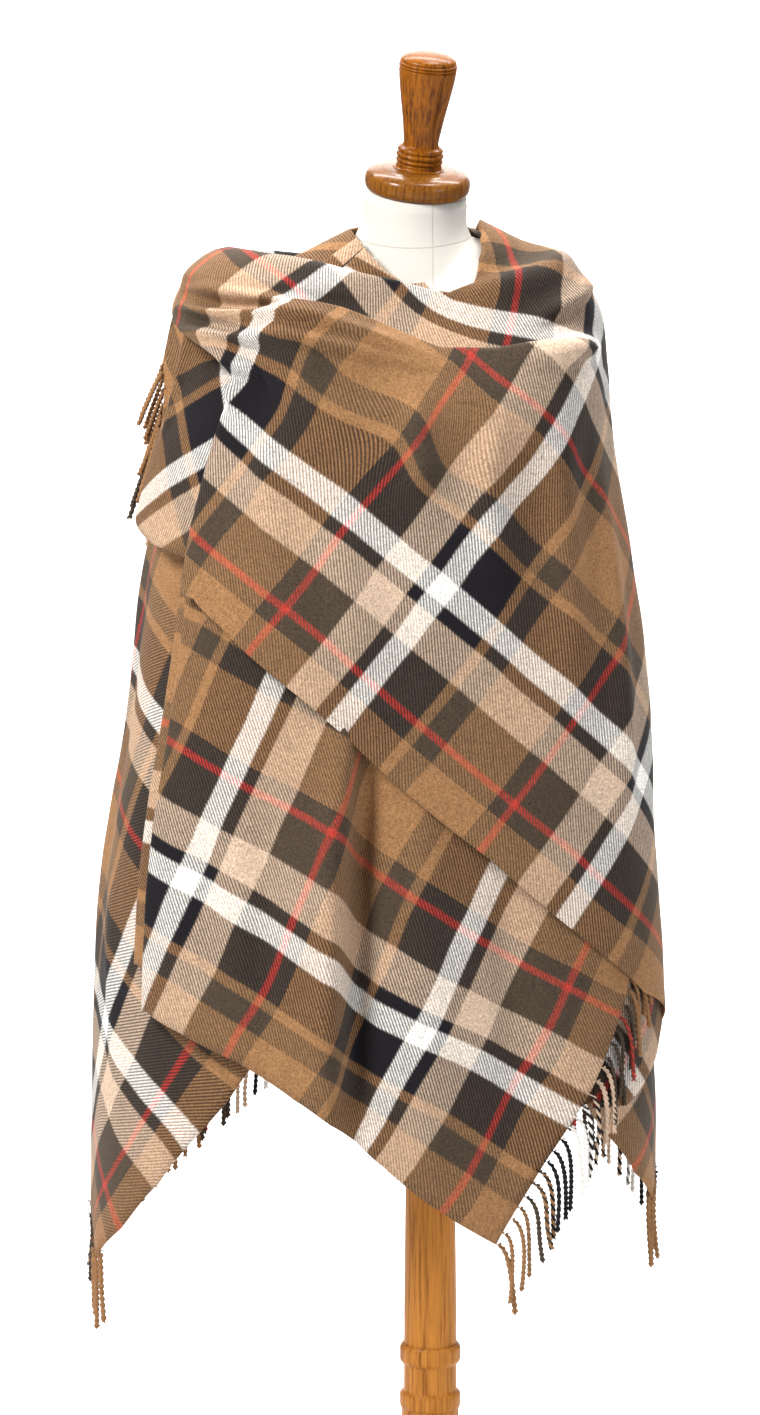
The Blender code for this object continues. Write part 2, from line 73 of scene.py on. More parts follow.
# turn at the top, turn at the hem, lift at the top, lift at the hem, top (None: the
# neck's rim), hem, and the height where the section has its hem's turn, if not the usual
USUAL_OPENING = 1190
BACK_SECTIONS = (
    (-60, -17, 2, 1, None, 732),
    (-66, -29, 2, 1, None, 616),
    (-73, -48, 2, 1, None, 510),
    (-80, -62, 2, 1, None, 452),
    (-88, -80, 2, 1, None, 406),
    (-98, -92, 2, 3, None, 431),
    (-110, -104, 2, 13, None, 466),
    (-121, -117, 2, 2, None, 507),
    (-132, -131, 2, -8, None, 556),
    (-144, -145, 2, 2, None, 604),
    (-156, -158, 2, 16, None, 644),
    (-168, -171, 2, 6, None, 664),
    (-180, -184, 2, -6, None, 668),
    (-192, -197, 2, 4, None, 660),
    (-204, -210, 2, 17, None, 640),
    (-216, -223, 2, 6, None, 610, 1100),
    (-228, -236, 2, -5, None, 576, 1000),
    (-240, -249, 2, 2, None, 542, 900),
    (-251, -262, 2, 4, None, 512, 800),
    (-259, -273, 2, 1, None, 488, 800),
    (-264, -281, 2, 0, None, 475, 800),
    (-267, -295, 2, 0, None, 512, 800),
    (-269, -313, 2, 0, None, 600, 800),
)
RIGHT_FRONT_SECTIONS = (
    (-43, -40, 8, 19, None, 702),
    (-46.5, -48.2, 8, 19.8, None, 703),
    (-47.7, -50.4, 10.6, 22.6, None, 704),
    (-46.5, -48.6, 13.4, 25.8, None, 703),
    (-41, -39, 13, 26.2, None, 684),
    (-32, -26, 11, 21, None, 656),
    (-24, -15, 8, 15, None, 619),
    (-17, -8, 6, 18, None, 592),
    (-11, -3.5, 4, 2, None, 571),
    (-6, 2, 3, 4, None, 544),
    (0, 9.6, 2.5, 8, None, 508),
    (9, 17, 2.5, 6, None, 480),
    (19, 24.6, 2.5, 5, 1470, 456),
    (30, 35, 2.5, 8, 1420, 540, 1100),
    (44, 46.5, 3.4, 12.8, 1350, 618, 1000),
    (56, 56.7, 4.8, 13.4, 1280, 711, 1000),
    (67, 66, 5.6, 13.2, 1210, 820, 1000),
    (75, 73, 6.6, 13.2, 1160, 910, 1000),
)
SIDE_FOLD_SECTIONS = (
    (-54, -45, 4.1, 6.6, None, 742),
    (-59, -53.6, 4.1, 7.2, None, 748),
    (-60.3, -56, 6.8, 10, None, 750),
    (-59, -54.2, 9.6, 12.9, None, 750),
    (-54, -46, 10.2, 13.8, None, 742),
    (-50, -38, 9, 13.8, None, 732),
)
LEFT_FRONT_SECTIONS = (
    (80, 48, 6.4, 6.2, None, 596, 800),
    (84, 59, 6.4, 6.6, None, 594, 800),
    (88, 71, 6.6, 7, None, 624, 800),
    (91, 81, 7.4, 7.8, None, 652, 800),
    (92.3, 84, 9.6, 11.2, None, 672, 800),
    (91, 81.6, 12.2, 15, None, 684, 800),
    (85, 74, 12, 18.5, None, 698, 800),
    (76, 63, 12, 19, 1544, 716, 900),
    (64, 49, 11, 18.5, 1532, 766, 1000),
    (51, 35, 11, 18, 1512, 823, 1100),
    (37, 24, 12, 17, 1484, 872),
    (22, 13, 10, 16, 1475, 915),
    (7, 2, 12, 17, 1479, 961),
    (-9, -8, 17, 23, 1483, 1007),
    (-26, -17, 27, 32, 1481, 1045, 1250),
    (-44, -27, 42, 38, 1478, 1083, 1310),
    (-62, -36, 58, 43, 1476, 1120, 1350),
    (-80, -44, 68, 46, 1473, 1148, 1370),
    (-92, -47.5, 70, 45.5, 1471, 1152, 1370),
    (-95, -49, 67.5, 42.7, 1470, 1154, 1370),
    (-92, -47, 64.5, 39.7, 1471, 1158, 1370),
    (-80, -41, 61, 38.7, 1472, 1168, 1370),
)
THROWN_SECTIONS = (
    (-46, -40, 16.1, 31.5, 1486, 1186),
    (-58, -52, 24, 32, 1485, 1192),
    (-68, -65, 42, 34, 1480, 1203),
    (-76, -76, 54, 36, 1474, 1222),
    (-79.5, -79.6, 54.5, 34.5, 1471, 1240),
    (-82, -80.4, 51, 30, 1469, 1265),
    (-86, -84.5, 52, 29, 1467, 1310),
    (-91, -92, 60, 44, 1467, 1388),
    (-97, -99, 60, 28, 1470, 1340),
    (-104, -106, 60, 43, 1476, 1290),
    (-112, -115, 54, 24, 1487, 1240),
    (-121, -124, 43, 40, 1496, 1190),
    (-130, -134, 29, 20, 1506, 1140),
    (-139, -143, 18.5, 26, 1512, 1090),
)

# The swag fold across the left front: turn, the height of its crest, how far the cloth
# turns over (180 is folded flat) and how long the hidden return is.
SWAG_FOLD = (
    (-66, 1446, 0, 4),
    (-52, 1445, 50, 6),
    (-40, 1443, 110, 12),
    (-28, 1440, 155, 20),
    (-12, 1429, 175, 30),
    (8, 1408, 175, 32),
    (26, 1408, 165, 24),
    (44, 1417, 130, 14),
    (60, 1428, 60, 6),
    (76, 1434, 0, 4),
)
# The fold's rounding at each bend, its least drop below the top, and how far below it
# the cloth is back on the drape.
BEND_LENGTH = 0.0125
FOLD_FINENESS = 12
SWAG_CLEARANCE = 0.012
SWAG_SPREAD = 0.20


def metres(rows, first=0):
    """A table as an array, with its columns from the first one named on in metres."""
    rows = np.array(rows, dtype=float)
    rows[:, first:] /= 1000
    return rows


RINGS = metres(DRAPE_RINGS)


def smooth_rows(rows, at):
    """Rows of numbers read at fractional row numbers, on a curve through every row."""
    rows = np.asarray(rows, dtype=float)
    at = np.clip(np.asarray(at, dtype=float), 0.0, len(rows) - 1.0)
    k = np.minimum(at.astype(int), len(rows) - 2)
    f = (at - k)[..., None]
    nearby = (np.clip(k + step, 0, len(rows) - 1) for step in (-1, 0, 1, 2))
    before, here, after, beyond = (rows[row] for row in nearby)
    slope_here = (after - before) / 2
    slope_after = (beyond - here) / 2
    return (
        here * (2 * f**3 - 3 * f**2 + 1)
        + after * (3 * f**2 - 2 * f**3)
        + slope_here * (f**3 - 2 * f**2 + f)
        + slope_after * (f**3 - f**2)
    )


def between_rows(rows, steps):
    """Rows of numbers with steps from each to the next."""
    return smooth_rows(rows, np.linspace(0, len(rows) - 1, (len(rows) - 1) * steps + 1))


def drape_points(turn, ring):
    """Points of the draped surface at turns (radians) and fractional ring numbers."""
    side, front, back, centre, width, front_depth, back_depth = np.moveaxis(
        smooth_rows(RINGS, ring), -1, 0
    )
    sine, cosine = np.sin(turn), np.cos(turn)
    ahead = cosine > 0
    depth = np.where(ahead, front_depth, back_depth)
    end = np.where(ahead, front, back)
    return np.stack(
        [centre + width * sine, -depth * cosine, side + (end - side) * cosine**2], axis=-1
    )


def drape_normals(turn, ring):
    """Unit normals of the draped surface, pointing out."""
    step = 0.01
    across = drape_points(turn + step, ring) - drape_points(turn - step, ring)
    low = np.clip(ring + step, 0, len(RINGS) - 1)
    high = np.clip(ring - step, 0, len(RINGS) - 1)
    down = drape_points(turn, low) - drape_points(turn, high)
    normal = np.cross(down, across)
    return normal / np.linalg.norm(normal, axis=-1, keepdims=True)


def ring_at(turn, height):
    """The ring numbers at which the draped surface has these heights, by halving."""
    low = np.zeros(np.shape(height))
    high = np.full(np.shape(height), len(RINGS) - 1.0)
    for _step in range(22):
        middle = (low + high) / 2
        above = drape_points(turn, middle)[..., 2] > height
        low = np.where(above, middle, low)
        high = np.where(above, high, middle)
    return (low + high) / 2


def eased(value):
    """0 to 1 with a soft start and end."""
    value = np.clip(value, 0.0, 1.0)
    return value * value * (3 - 2 * value)


# ---- cloth: sections, folds and the flat coordinates the weave follows
def sections(rows, per_row):
    """A table of sections read per_row times between each pair of its rows."""
    full = metres([row + (USUAL_OPENING,) * (7 - len(row)) for row in rows], 2)
    rim = drape_points(np.radians(full[:, 0]), np.zeros(len(full)))[:, 2]
    full[:, 4] = np.where(np.isnan(full[:, 4]), rim, full[:, 4])
    smooth = between_rows(full, per_row)
    at = np.linspace(0, len(full) - 1, len(smooth))
    for column in (4, 5):
        smooth[:, column] = np.interp(at, np.arange(len(full)), full[:, column])
    return smooth


def place(parts, heights, extra_lift):
    """Points at heights (sections down, heights across), lifted off the drape."""
    top_turn, hem_turn, top_lift, hem_lift, _top, _hem, open_height = parts.T[:, :, None]
    below = OPENING_START - heights
    opened = below / (OPENING_START - open_height)
    settled = below / (OPENING_START - np.minimum(open_height, LIFT_OPEN)) * LIFT_LEAD
    turn = np.radians(top_turn + (hem_turn - top_turn) * eased(opened))
    lift = top_lift + (hem_lift - top_lift) * eased(settled) + extra_lift
    ring = ring_at(turn, heights)
    normal = drape_normals(turn, ring)
    return drape_points(turn, ring) + normal * lift[..., None], normal, turn


def plain_heights(parts, steps):
    """Heights down each section, closer together near its top."""
    top_turn = np.radians(parts[:, 0])
    top_ring = ring_at(top_turn, parts[:, 4])
    hem_ring = ring_at(np.radians(parts[:, 1]), parts[:, 5])
    shares = np.linspace(0.0, 1.0, steps + 1) ** TOP_CROWDING
    ring = top_ring[:, None] + (hem_ring - top_ring)[:, None] * shares
    heights = drape_points(np.broadcast_to(top_turn[:, None], ring.shape), ring)[..., 2]
    heights[:, 0] = parts[:, 4]
    # the last of it eases onto the hem
    off = parts[:, 5] - heights[:, -1]
    return heights + off[:, None] * shares**3


def run_from_zero(steps):
    """The running sum of steps, with the start of the run put before it."""
    steps = np.asarray(steps)
    start = np.zeros((*steps.shape[:-1], 1))
    return np.concatenate([start, np.cumsum(steps, axis=-1)], axis=-1)


def swag_path(bend, hidden, steps):
    """Heights above the crest and lifts along a fold: down, back up, over and down."""
    length = 2 * BEND_LENGTH + hidden
    count = FOLD_FINENESS * steps
    along = (np.arange(count) + 0.5) / count * length
    up = np.clip(along / BEND_LENGTH, 0, 1)
    down = np.clip((length - along) / BEND_LENGTH, 0, 1)
    heading = np.radians(bend) * np.minimum(up, down)
    piece = length / count
    height = run_from_zero(-np.cos(heading) * piece)[::FOLD_FINENESS]
    lift = run_from_zero(np.sin(heading) * piece)[::FOLD_FINENESS]
    return height - height[len(height) // 2 :].max(), lift


def swagged_heights(parts, above_steps, fold_steps, below_steps):
    """Heights and lifts down each section: above the swag fold, through it and below."""
    heights, lifts = [], []
    turns, crests, bends, hiddens = np.array(SWAG_FOLD, dtype=float).T
    for section in parts:
        crest, bend, hidden = (
            np.interp(section[0], turns, column)
            for column in (crests / 1000, bends, hiddens / 1000)
        )
        fold, fold_lift = swag_path(bend, hidden, fold_steps)
        top = section[4]
        fold_height = min(crest, top - SWAG_CLEARANCE - fold[0]) + fold
        above = np.linspace(top, fold_height[0], above_steps + 1)[:-1]
        below = np.linspace(fold_height[-1], section[5], below_steps + 1)[1:]
        gone = eased((fold_height[-1] - below) / SWAG_SPREAD)
        heights.append(np.concatenate([above, fold_height, below]))
        lifts.append(np.concatenate([above * 0, fold_lift, fold_lift[-1] * (1 - gone)]))
    return np.array(heights), np.array(lifts)


def down_lengths(grid, heights, level):
    """How far down the cloth each point lies from where its section passes a level."""
    run = run_from_zero(np.linalg.norm(np.diff(grid, axis=1), axis=-1))
    start = []
    for h, r in zip(heights, run):
        last = len(h) - 1 - int(np.argmax(h[::-1] > level))
        if h[-1] > level:
            start.append(r[-1] + h[-1] - level)
        elif last == len(h) - 1:
            start.append(r[0] - (level - h[0]))
        else:
            f = (h[last] - level) / max(h[last] - h[last + 1], 1e-9)
            start.append(r[last] + (r[last + 1] - r[last]) * f)
    return run - np.array(start)[:, None]


def unrolled(parts, heights, grid, upper, lower):
    """The cloth laid flat: its sections fan out as much as they do between two levels."""
    down = down_lengths(grid, heights, upper)
    lines = place(parts, np.full((len(parts), 2), (upper, lower)), 0.0)[0]
    near, far = np.linalg.norm(np.diff(lines, axis=0), axis=-1).T
    heading = run_from_zero((far - near) / (upper - lower))
    middle = (heading[1:] + heading[:-1]) / 2
    start_x = run_from_zero(near * np.cos(middle))
    start_y = run_from_zero(-near * np.sin(middle))
    x = start_x[:, None] + down * np.sin(heading)[:, None]
    y = start_y[:, None] + down * np.cos(heading)[:, None]
    return np.stack([x, y], axis=-1)


def weave_places(flat, grid, edges, per_row, face, at):
    """Flat places with each edge along one thread, from a place in the repeat on. The
    first edge sets how the cloth is turned."""
    flat = relaxed(flat, grid, ())
    pins = [(a * per_row, b * per_row, 0 if runs == "warp" else 1) for a, b, runs in edges]
    low, high, axis = pins[0]
    run = flat[high, -1] - flat[low, -1]
    angle = math.atan2(run[1], run[0]) - (math.pi / 2 if axis == 0 else 0.0)
    cosine, sine = math.cos(angle), math.sin(angle)
    x, y = np.moveaxis(flat - flat[low, -1], -1, 0)
    across = (x * cosine + y * sine + at[0]) * face
    places = relaxed(np.stack([across, y * cosine - x * sine + at[1]], axis=-1), grid, pins)
    for low, _high, axis in reversed(pins):
        places[..., axis] += at[axis] - places[low, -1, axis]
    return places


# How the cloth is laid flat: the strides of its coarse grids with the rounds on each,
# and the share of its step that a point takes.
RELAX_LEVELS = ((16, 500), (8, 400), (4, 200), (2, 90), (1, 30))
RELAX_STEP = 0.9
# The two triangles of each square of a grid, as slices of its points.
NEAR, FAR = slice(0, -1), slice(1, None)
TRIANGLES = (
    ((NEAR, NEAR), (NEAR, FAR), (FAR, NEAR)),
    ((FAR, FAR), (FAR, NEAR), (NEAR, FAR)),
)


def relaxed_once(flat, grid, rounds, pins):
    """Flat places moved until each triangle lies as it does on the cloth, only turned. A
    pin keeps a run of hem points on one thread."""
    x, y = (flat[1:, :-1] - flat[:-1, :-1]).T
    down_x, down_y = (flat[:-1, 1:] - flat[:-1, :-1]).T
    side = np.sign(np.median(down_x * y - down_y * x))
    edges = []
    for corners in TRIANGLES:
        a, b, c = (grid[corner] for corner in corners)
        along, other = b - a, c - a
        base = np.maximum(np.linalg.norm(along, axis=-1), 1e-7)
        share = (along * other).sum(axis=-1) / base
        height = np.linalg.norm(np.cross(along, other), axis=-1) / base
        shape = [np.zeros(base.shape), base + 0j, share + 1j * side * height]
        for start, end in ((0, 1), (1, 2), (2, 0)):
            rest = shape[end] - shape[start]
            weight = 1.0 / np.maximum(np.abs(rest), 1e-6)
            edges.append((corners[start], corners[end], rest, weight))
    places = flat[..., 0] + 1j * flat[..., 1]
    share = np.zeros(places.shape)
    for start, end, _rest, weight in edges:
        share[start] += weight
        share[end] += weight
    for _round in range(rounds):
        total = np.zeros(places.shape, complex)
        for three in (edges[:3], edges[3:]):
            turn = sum(
                (places[end] - places[start]) * np.conj(rest) * weight
                for start, end, rest, weight in three
            )
            turn /= np.maximum(np.abs(turn), 1e-12)
            for start, end, rest, weight in three:
                reach = turn * rest
                total[end] += (places[start] + reach) * weight
                total[start] += (places[end] - reach) * weight
        places = places + (total / share - places) * RELAX_STEP
        for low, high, axis in pins:
            line = places[low : high + 1, -1]
            if axis == 0:
                line[:] = line.real.mean() + 1j * line.imag
            else:
                line[:] = line.real + 1j * line.imag.mean()
    return np.stack([places.real, places.imag], axis=-1)


def relaxed(flat, grid, pins):
    """The relaxation on coarse grids first and on the whole one last."""
    for stride, rounds in RELAX_LEVELS:
        kept = [
            np.unique(np.append(np.arange(0, size, stride), size - 1)) for size in grid.shape[:2]
        ]
        chosen = np.ix_(*kept)
        held = [
            (np.searchsorted(kept[0], low), np.searchsorted(kept[0], high + 1) - 1, axis)
            for low, high, axis in pins
        ]
        moved = relaxed_once(flat[chosen], grid[chosen], rounds, held) - flat[chosen]
        down, across = [
            np.array([np.interp(np.arange(size), points, one) for one in np.eye(len(points))])
            for size, points in zip(grid.shape[:2], kept)
        ]
        flat = flat + np.einsum("rcx,ri,cj->ijx", moved, down, across, optimize=True)
    return flat


def mesh_piece(name, points, faces, material, flat=None):
    """A smooth mesh with one material and, where it is woven, its flat places."""
    mesh = bpy.data.meshes.new(name)
    mesh.from_pydata([tuple(p) for p in points], [], faces)
    mesh.materials.append(material)
    if flat is not None:
        layer = mesh.uv_layers.new(name="weave")
        index = np.empty(len(mesh.loops), dtype=np.int64)
        mesh.loops.foreach_get("vertex_index", index)
        layer.data.foreach_set("uv", np.asarray(flat)[index].astype(np.float32).ravel())
    mesh.polygons.foreach_set("use_smooth", np.ones(len(mesh.polygons), dtype=bool))
    piece = bpy.data.objects.new(name, mesh)
    bpy.context.scene.collection.objects.link(piece)
    return piece


def grid_faces(count, steps):
    """The faces of a grid of points."""
    starts = [i * steps + j for i in range(count - 1) for j in range(steps - 1)]
    return [(a, a + 1, a + 1 + steps, a + steps) for a in starts]


def loft_faces(rings, sides, base=0):
    """The faces round a stack of rings, and the two that close it."""
    faces = []
    for low in range(base, base + (rings - 1) * sides, sides):
        for i in range(sides):
            j = (i + 1) % sides
            faces.append((low + i, low + j, low + sides + j, low + sides + i))
    top = base + (rings - 1) * sides
    faces.append(tuple(reversed(range(base, base + sides))))
    faces.append(tuple(range(top, top + sides)))
    return faces


# ---- soft creases placed one by one
# The drape's usual distance from the form's axis, which turns angles into widths.
REACH = 0.25
# The share of a crease's length that eases it in or out, and its rise at its very ends.
CREASE_END = 0.35
CREASE_END_RISE = 0.12
WAVE_SIZE = 0.17
WAVE_HEIGHT = 0.0110
WAVE_LENGTHENING = 0.45
WAVES_START = 1.40
WAVES_RUN_IN = 0.30
RIPPLE_SIZE = 0.060
RIPPLE_HEIGHT = 0.0012


def creased(turn, height, rows):
    """How far each point stands out for a table of soft ridges and troughs. Below its
    line a crease is narrower by its lap, so that it reads as a fold lying over."""
    out = np.zeros(np.shape(turn))
    across = turn * REACH
    for turn_a, height_a, turn_b, height_b, width, rise, lap in rows:
        a = np.array([math.radians(turn_a) * REACH, height_a / 1000])
        b = np.array([math.radians(turn_b) * REACH, height_b / 1000])
        width, rise = width / 1000, rise / 1000
        run = b - a
        share = ((across - a[0]) * run[0] + (height - a[1]) * run[1]) / (run @ run)
        near = np.clip(share, 0.0, 1.0)
        gap_across = across - (a[0] + near * run[0])
        gap_height = height - (a[1] + near * run[1])
        off = np.hypot(gap_across, gap_height)
        below = gap_height * abs(run[0]) - gap_across * run[1] * np.sign(run[0] + 1e-9)
        reach = np.where(below < 0, width * lap, width)
        ends = eased(near / CREASE_END) * eased((1 - near) / CREASE_END)
        strength = CREASE_END_RISE + (1 - CREASE_END_RISE) * ends
        out += rise * np.exp(-((off / reach) ** 2)) * strength
    return out


def dragged(flat, turn, height, rows):
    """Flat places pulled along the cloth, where it has skewed on its bias."""
    for turn_at, height_at, radius, across, down in rows:
        beside = (turn - math.radians(turn_at)) * REACH
        away = np.hypot(beside, height - height_at / 1000)
        pull = np.exp(-((away / (radius / 1000)) ** 2))
        flat = flat + pull[..., None] * np.array([across, down]) / 1000
    return flat


def field(points, size, shift):
    """Smooth noise read at points, the same in every layer that passes there."""
    offset = Vector(shift)
    values = [noise.noise(Vector(p) / size + offset) for p in points.reshape(-1, 3)]
    return np.array(values).reshape(points.shape[:-1])


def waves(points):
    """The slow waves of hanging cloth and finer ripples in them. The waves are the
    same for layers that lie on each other, and fade out on the form's shoulders."""
    slow = points * np.array([1.0, 1.0, WAVE_LENGTHENING])
    free = eased((WAVES_START - points[..., 2]) / WAVES_RUN_IN)
    big = field(slow, WAVE_SIZE, (3.1, 1.7, 0.9)) * WAVE_HEIGHT * free
    small = field(points, RIPPLE_SIZE, (7.3, 2.2, 5.8)) * RIPPLE_HEIGHT
    return big + small


# ---- materials
CAMEL = (0.298, 0.152, 0.064)
BROWN = (0.058, 0.040, 0.026)
BEIGE = (0.600, 0.440, 0.320)
BLACK = (0.0050, 0.0042, 0.0075)
IVORY = (0.880, 0.850, 0.800)
RED = (0.450, 0.040, 0.028)

# The plaid: one repeat, as widths in metres of its warp and weft bands.
REPEAT = (
    (0.078, CAMEL),
    (0.028, BROWN),
    (0.012, CAMEL),
    (0.054, BLACK),
    (0.025, IVORY),
    (0.015, BLACK),
    (0.042, BEIGE),
    (0.050, BROWN),
    (0.008, RED),
    (0.018, BROWN),
)
REPEAT_LENGTH = sum(width for width, _colour in REPEAT)
# How soft the bands' edges are, and how far they wander on a fine and on a broad scale.
BAND_EDGE = 0.0016
EDGE_FUZZ = 0.0034
EDGE_SWAY = 0.010
TWILL_PITCH = 0.0046
NAP = (0.55, 0.45, 0.36)
# Flecks of the brushed wool: how many a metre, and how strong they are.
MELANGE = ((1500.0, 0.80), (620.0, 1.50), (330.0, 1.10), (30.0, 0.18))


class Nodes:
    """A small helper for laying out a material's nodes."""

    def __init__(self, name):
        self.material = bpy.data.materials.new(name)
        self.material.use_nodes = True
        self.tree = self.material.node_tree
        self.shader = self.tree.nodes["Principled BSDF"]
        self.place = self.add("ShaderNodeTexCoord").outputs["Object"]

    def give(self, socket, value):
        """An input's number or colour, or the output that it reads."""
        if isinstance(value, tuple):
            socket.default_value = (*value, 1.0)
        elif isinstance(value, (int, float)):
            socket.default_value = value
        else:
            self.tree.links.new(value, socket)

    def add(self, kind, **settings):
        node = self.tree.nodes.new(kind)
        for key, value in settings.items():
            if key in node.inputs:
                self.give(node.inputs[key], value)
            else:
                setattr(node, key, value)
        return node

    def set(self, **inputs):
        for name, value in inputs.items():
            self.give(self.shader.inputs[name.replace("_", " ")], value)

    def split(self, source):
        return self.add("ShaderNodeSeparateXYZ", Vector=source).outputs

    def math(self, operation, first, second=0.0, clamp=False):
        node = self.add("ShaderNodeMath", operation=operation, use_clamp=clamp)
        self.give(node.inputs[0], first)
        self.give(node.inputs[1], second)
        return node.outputs[0]

    def plus(self, first, second):
        return self.math("ADD", first, second)

    def times(self, first, second, clamp=False):
        return self.math("MULTIPLY", first, second, clamp)

    def minus(self, first, second, clamp=False):
        return self.math("SUBTRACT", first, second, clamp)

    def over(self, first, second):
        return self.math("DIVIDE", first, second)

    def mix(self, factor, first, second, blend="MIX"):
        node = self.add("ShaderNodeMix", data_type="RGBA", blend_type=blend)
        for socket, value in ((0, factor), (6, first), (7, second)):
            self.give(node.inputs[socket], value)
        return node.outputs[2]

    def noise(self, scale, detail, roughness, place=None):
        node = self.add("ShaderNodeTexNoise", Scale=scale, Detail=detail, Roughness=roughness)
        self.give(node.inputs["Vector"], self.place if place is None else place)
        return node.outputs["Fac"]

    def toned(self, colour, tone):
        """A colour made lighter or darker by a tone that is 1 on average."""
        grey = self.add("ShaderNodeCombineColor", Red=tone, Green=tone, Blue=tone)
        return self.mix(1.0, colour, grey.outputs[0], "MULTIPLY")

    def ramp(self, factor, stops):
        node = self.add("ShaderNodeValToRGB", Fac=factor)
        elements = node.color_ramp.elements
        while len(elements) > 1:
            elements.remove(elements[-1])
        elements[0].position = stops[0][0]
        elements[0].color = (*stops[0][1], 1.0)
        for position, colour in stops[1:]:
            elements.new(position).color = (*colour, 1.0)
        return node.outputs["Color"]

    def complete(self, colour, height, strength, distance):
        """The shader's colour and its fine relief, and the material."""
        relief = self.add("ShaderNodeBump", Height=height, Strength=strength, Distance=distance)
        self.set(Base_Color=colour, Normal=relief.outputs["Normal"])
        return self.material


def band_stops():
    """Ramp stops of one repeat, each band's edges softened by the nap."""
    soft = BAND_EDGE / REPEAT_LENGTH / 2
    stops = []
    at = 0.0
    for index, (width, colour) in enumerate(REPEAT):
        start = at / REPEAT_LENGTH
        at += width
        end = at / REPEAT_LENGTH
        stops.append((start + (soft if index else 0.0), colour))
        stops.append((end - (soft if index < len(REPEAT) - 1 else 0.0), colour))
    return stops


def wool(name):
    """Nodes of a matt, slightly napped wool, and its places along the weave."""
    nodes = Nodes(name)
    nodes.set(Roughness=0.92, Specular_IOR_Level=0.18)
    nodes.set(Sheen_Weight=0.09, Sheen_Roughness=0.45, Sheen_Tint=(1.0, 0.93, 0.84))
    return nodes, nodes.split(nodes.add("ShaderNodeUVMap", uv_map="weave").outputs["UV"])


def band_colour(nodes, at):
    """The colour of the thread at a place in the plaid."""
    share = nodes.math("FRACT", nodes.over(at, REPEAT_LENGTH))
    return nodes.ramp(share, band_stops())


def plaid_cloth():
    """Brushed twill: warp and weft bands that mix on a fine diagonal."""
    nodes, along = wool("plaid wool")
    fuzz = nodes.times(nodes.minus(nodes.noise(650.0, 2.0, 0.6), 0.5), EDGE_FUZZ)
    sway = nodes.times(nodes.minus(nodes.noise(9.0, 1.0, 0.5), 0.5), EDGE_SWAY)
    warp, weft = (
        band_colour(nodes, nodes.plus(nodes.plus(along[axis], fuzz), sway))
        for axis in (0, 1)
    )
    diagonal = nodes.over(nodes.plus(along[0], along[1]), TWILL_PITCH)
    wave = nodes.math("PINGPONG", diagonal, 0.5)
    mask = nodes.times(nodes.minus(wave, 0.13), 4.0, clamp=True)
    mask = nodes.plus(nodes.times(mask, 0.60), 0.20)
    woven = nodes.mix(mask, warp, weft)
    shade = 1.0
    for scale, amount in MELANGE:
        speck = nodes.minus(nodes.noise(scale, 2.0, 0.6), 0.5)
        shade = nodes.plus(nodes.times(speck, amount), shade)
    napped = nodes.mix(0.006, nodes.toned(woven, shade), NAP)
    fibre = nodes.noise(900.0, 3.0, 0.7)
    relief = nodes.plus(nodes.times(wave, 0.9), nodes.times(fibre, 0.8))
    return nodes.complete(napped, relief, 0.55, 0.0008)


def fringe_yarn():
    """Twisted yarn that takes the colour of the warp band it is knotted from."""
    nodes, along = wool("fringe yarn")
    fibre = nodes.noise(1500.0, 3.0, 0.7)
    tone = nodes.plus(nodes.times(fibre, 0.5), 0.75)
    colour = nodes.toned(band_colour(nodes, along[0]), tone)
    return nodes.complete(nodes.mix(0.012, colour, NAP), fibre, 0.5, 0.0006)


# The form's canvas: its threads, and where its two seams run.
THREAD_PITCH = 0.0011
FRONT_SEAM = 0.001
NECK_SEAM = 1.5475
NECK_SEAM_SLOPE = 0.33
SEAM_HALF_WIDTH = 0.0012


def canvas():
    """Cream canvas with a seam down its front and one round its neck."""
    nodes = Nodes("cream canvas")
    nodes.set(Roughness=0.82, Specular_IOR_Level=0.25)
    x, y, z = nodes.split(nodes.place)
    threads = [
        nodes.math("PINGPONG", nodes.over(axis, THREAD_PITCH), 0.5) for axis in (x, z)
    ]
    stain = nodes.noise(7.0, 4.0, 0.6)
    fleck = nodes.noise(420.0, 2.0, 0.6)
    base = nodes.mix(stain, (0.710, 0.695, 0.655), (0.600, 0.570, 0.510))
    toned = nodes.mix(nodes.times(fleck, 0.20), base, (0.60, 0.53, 0.44))
    front_seam = nodes.math("ABSOLUTE", nodes.minus(x, FRONT_SEAM))
    front_seam = nodes.plus(front_seam, nodes.math("GREATER_THAN", y, 0.0))
    neck_plane = nodes.plus(nodes.times(y, -NECK_SEAM_SLOPE), z)
    neck_seam = nodes.math("ABSOLUTE", nodes.minus(neck_plane, NECK_SEAM))
    near = nodes.over(nodes.math("MINIMUM", front_seam, neck_seam), SEAM_HALF_WIDTH)
    seam = nodes.minus(1.0, near, clamp=True)
    toned = nodes.mix(nodes.times(seam, 0.55), toned, (0.40, 0.34, 0.26))
    rough = nodes.plus(nodes.math("MAXIMUM", *threads), fleck)
    return nodes.complete(toned, nodes.minus(rough, nodes.times(seam, 3.0)), 0.25, 0.0004)


# The share of the noise's change across the grain that is left along it.
GRAIN_STRETCH = 0.035


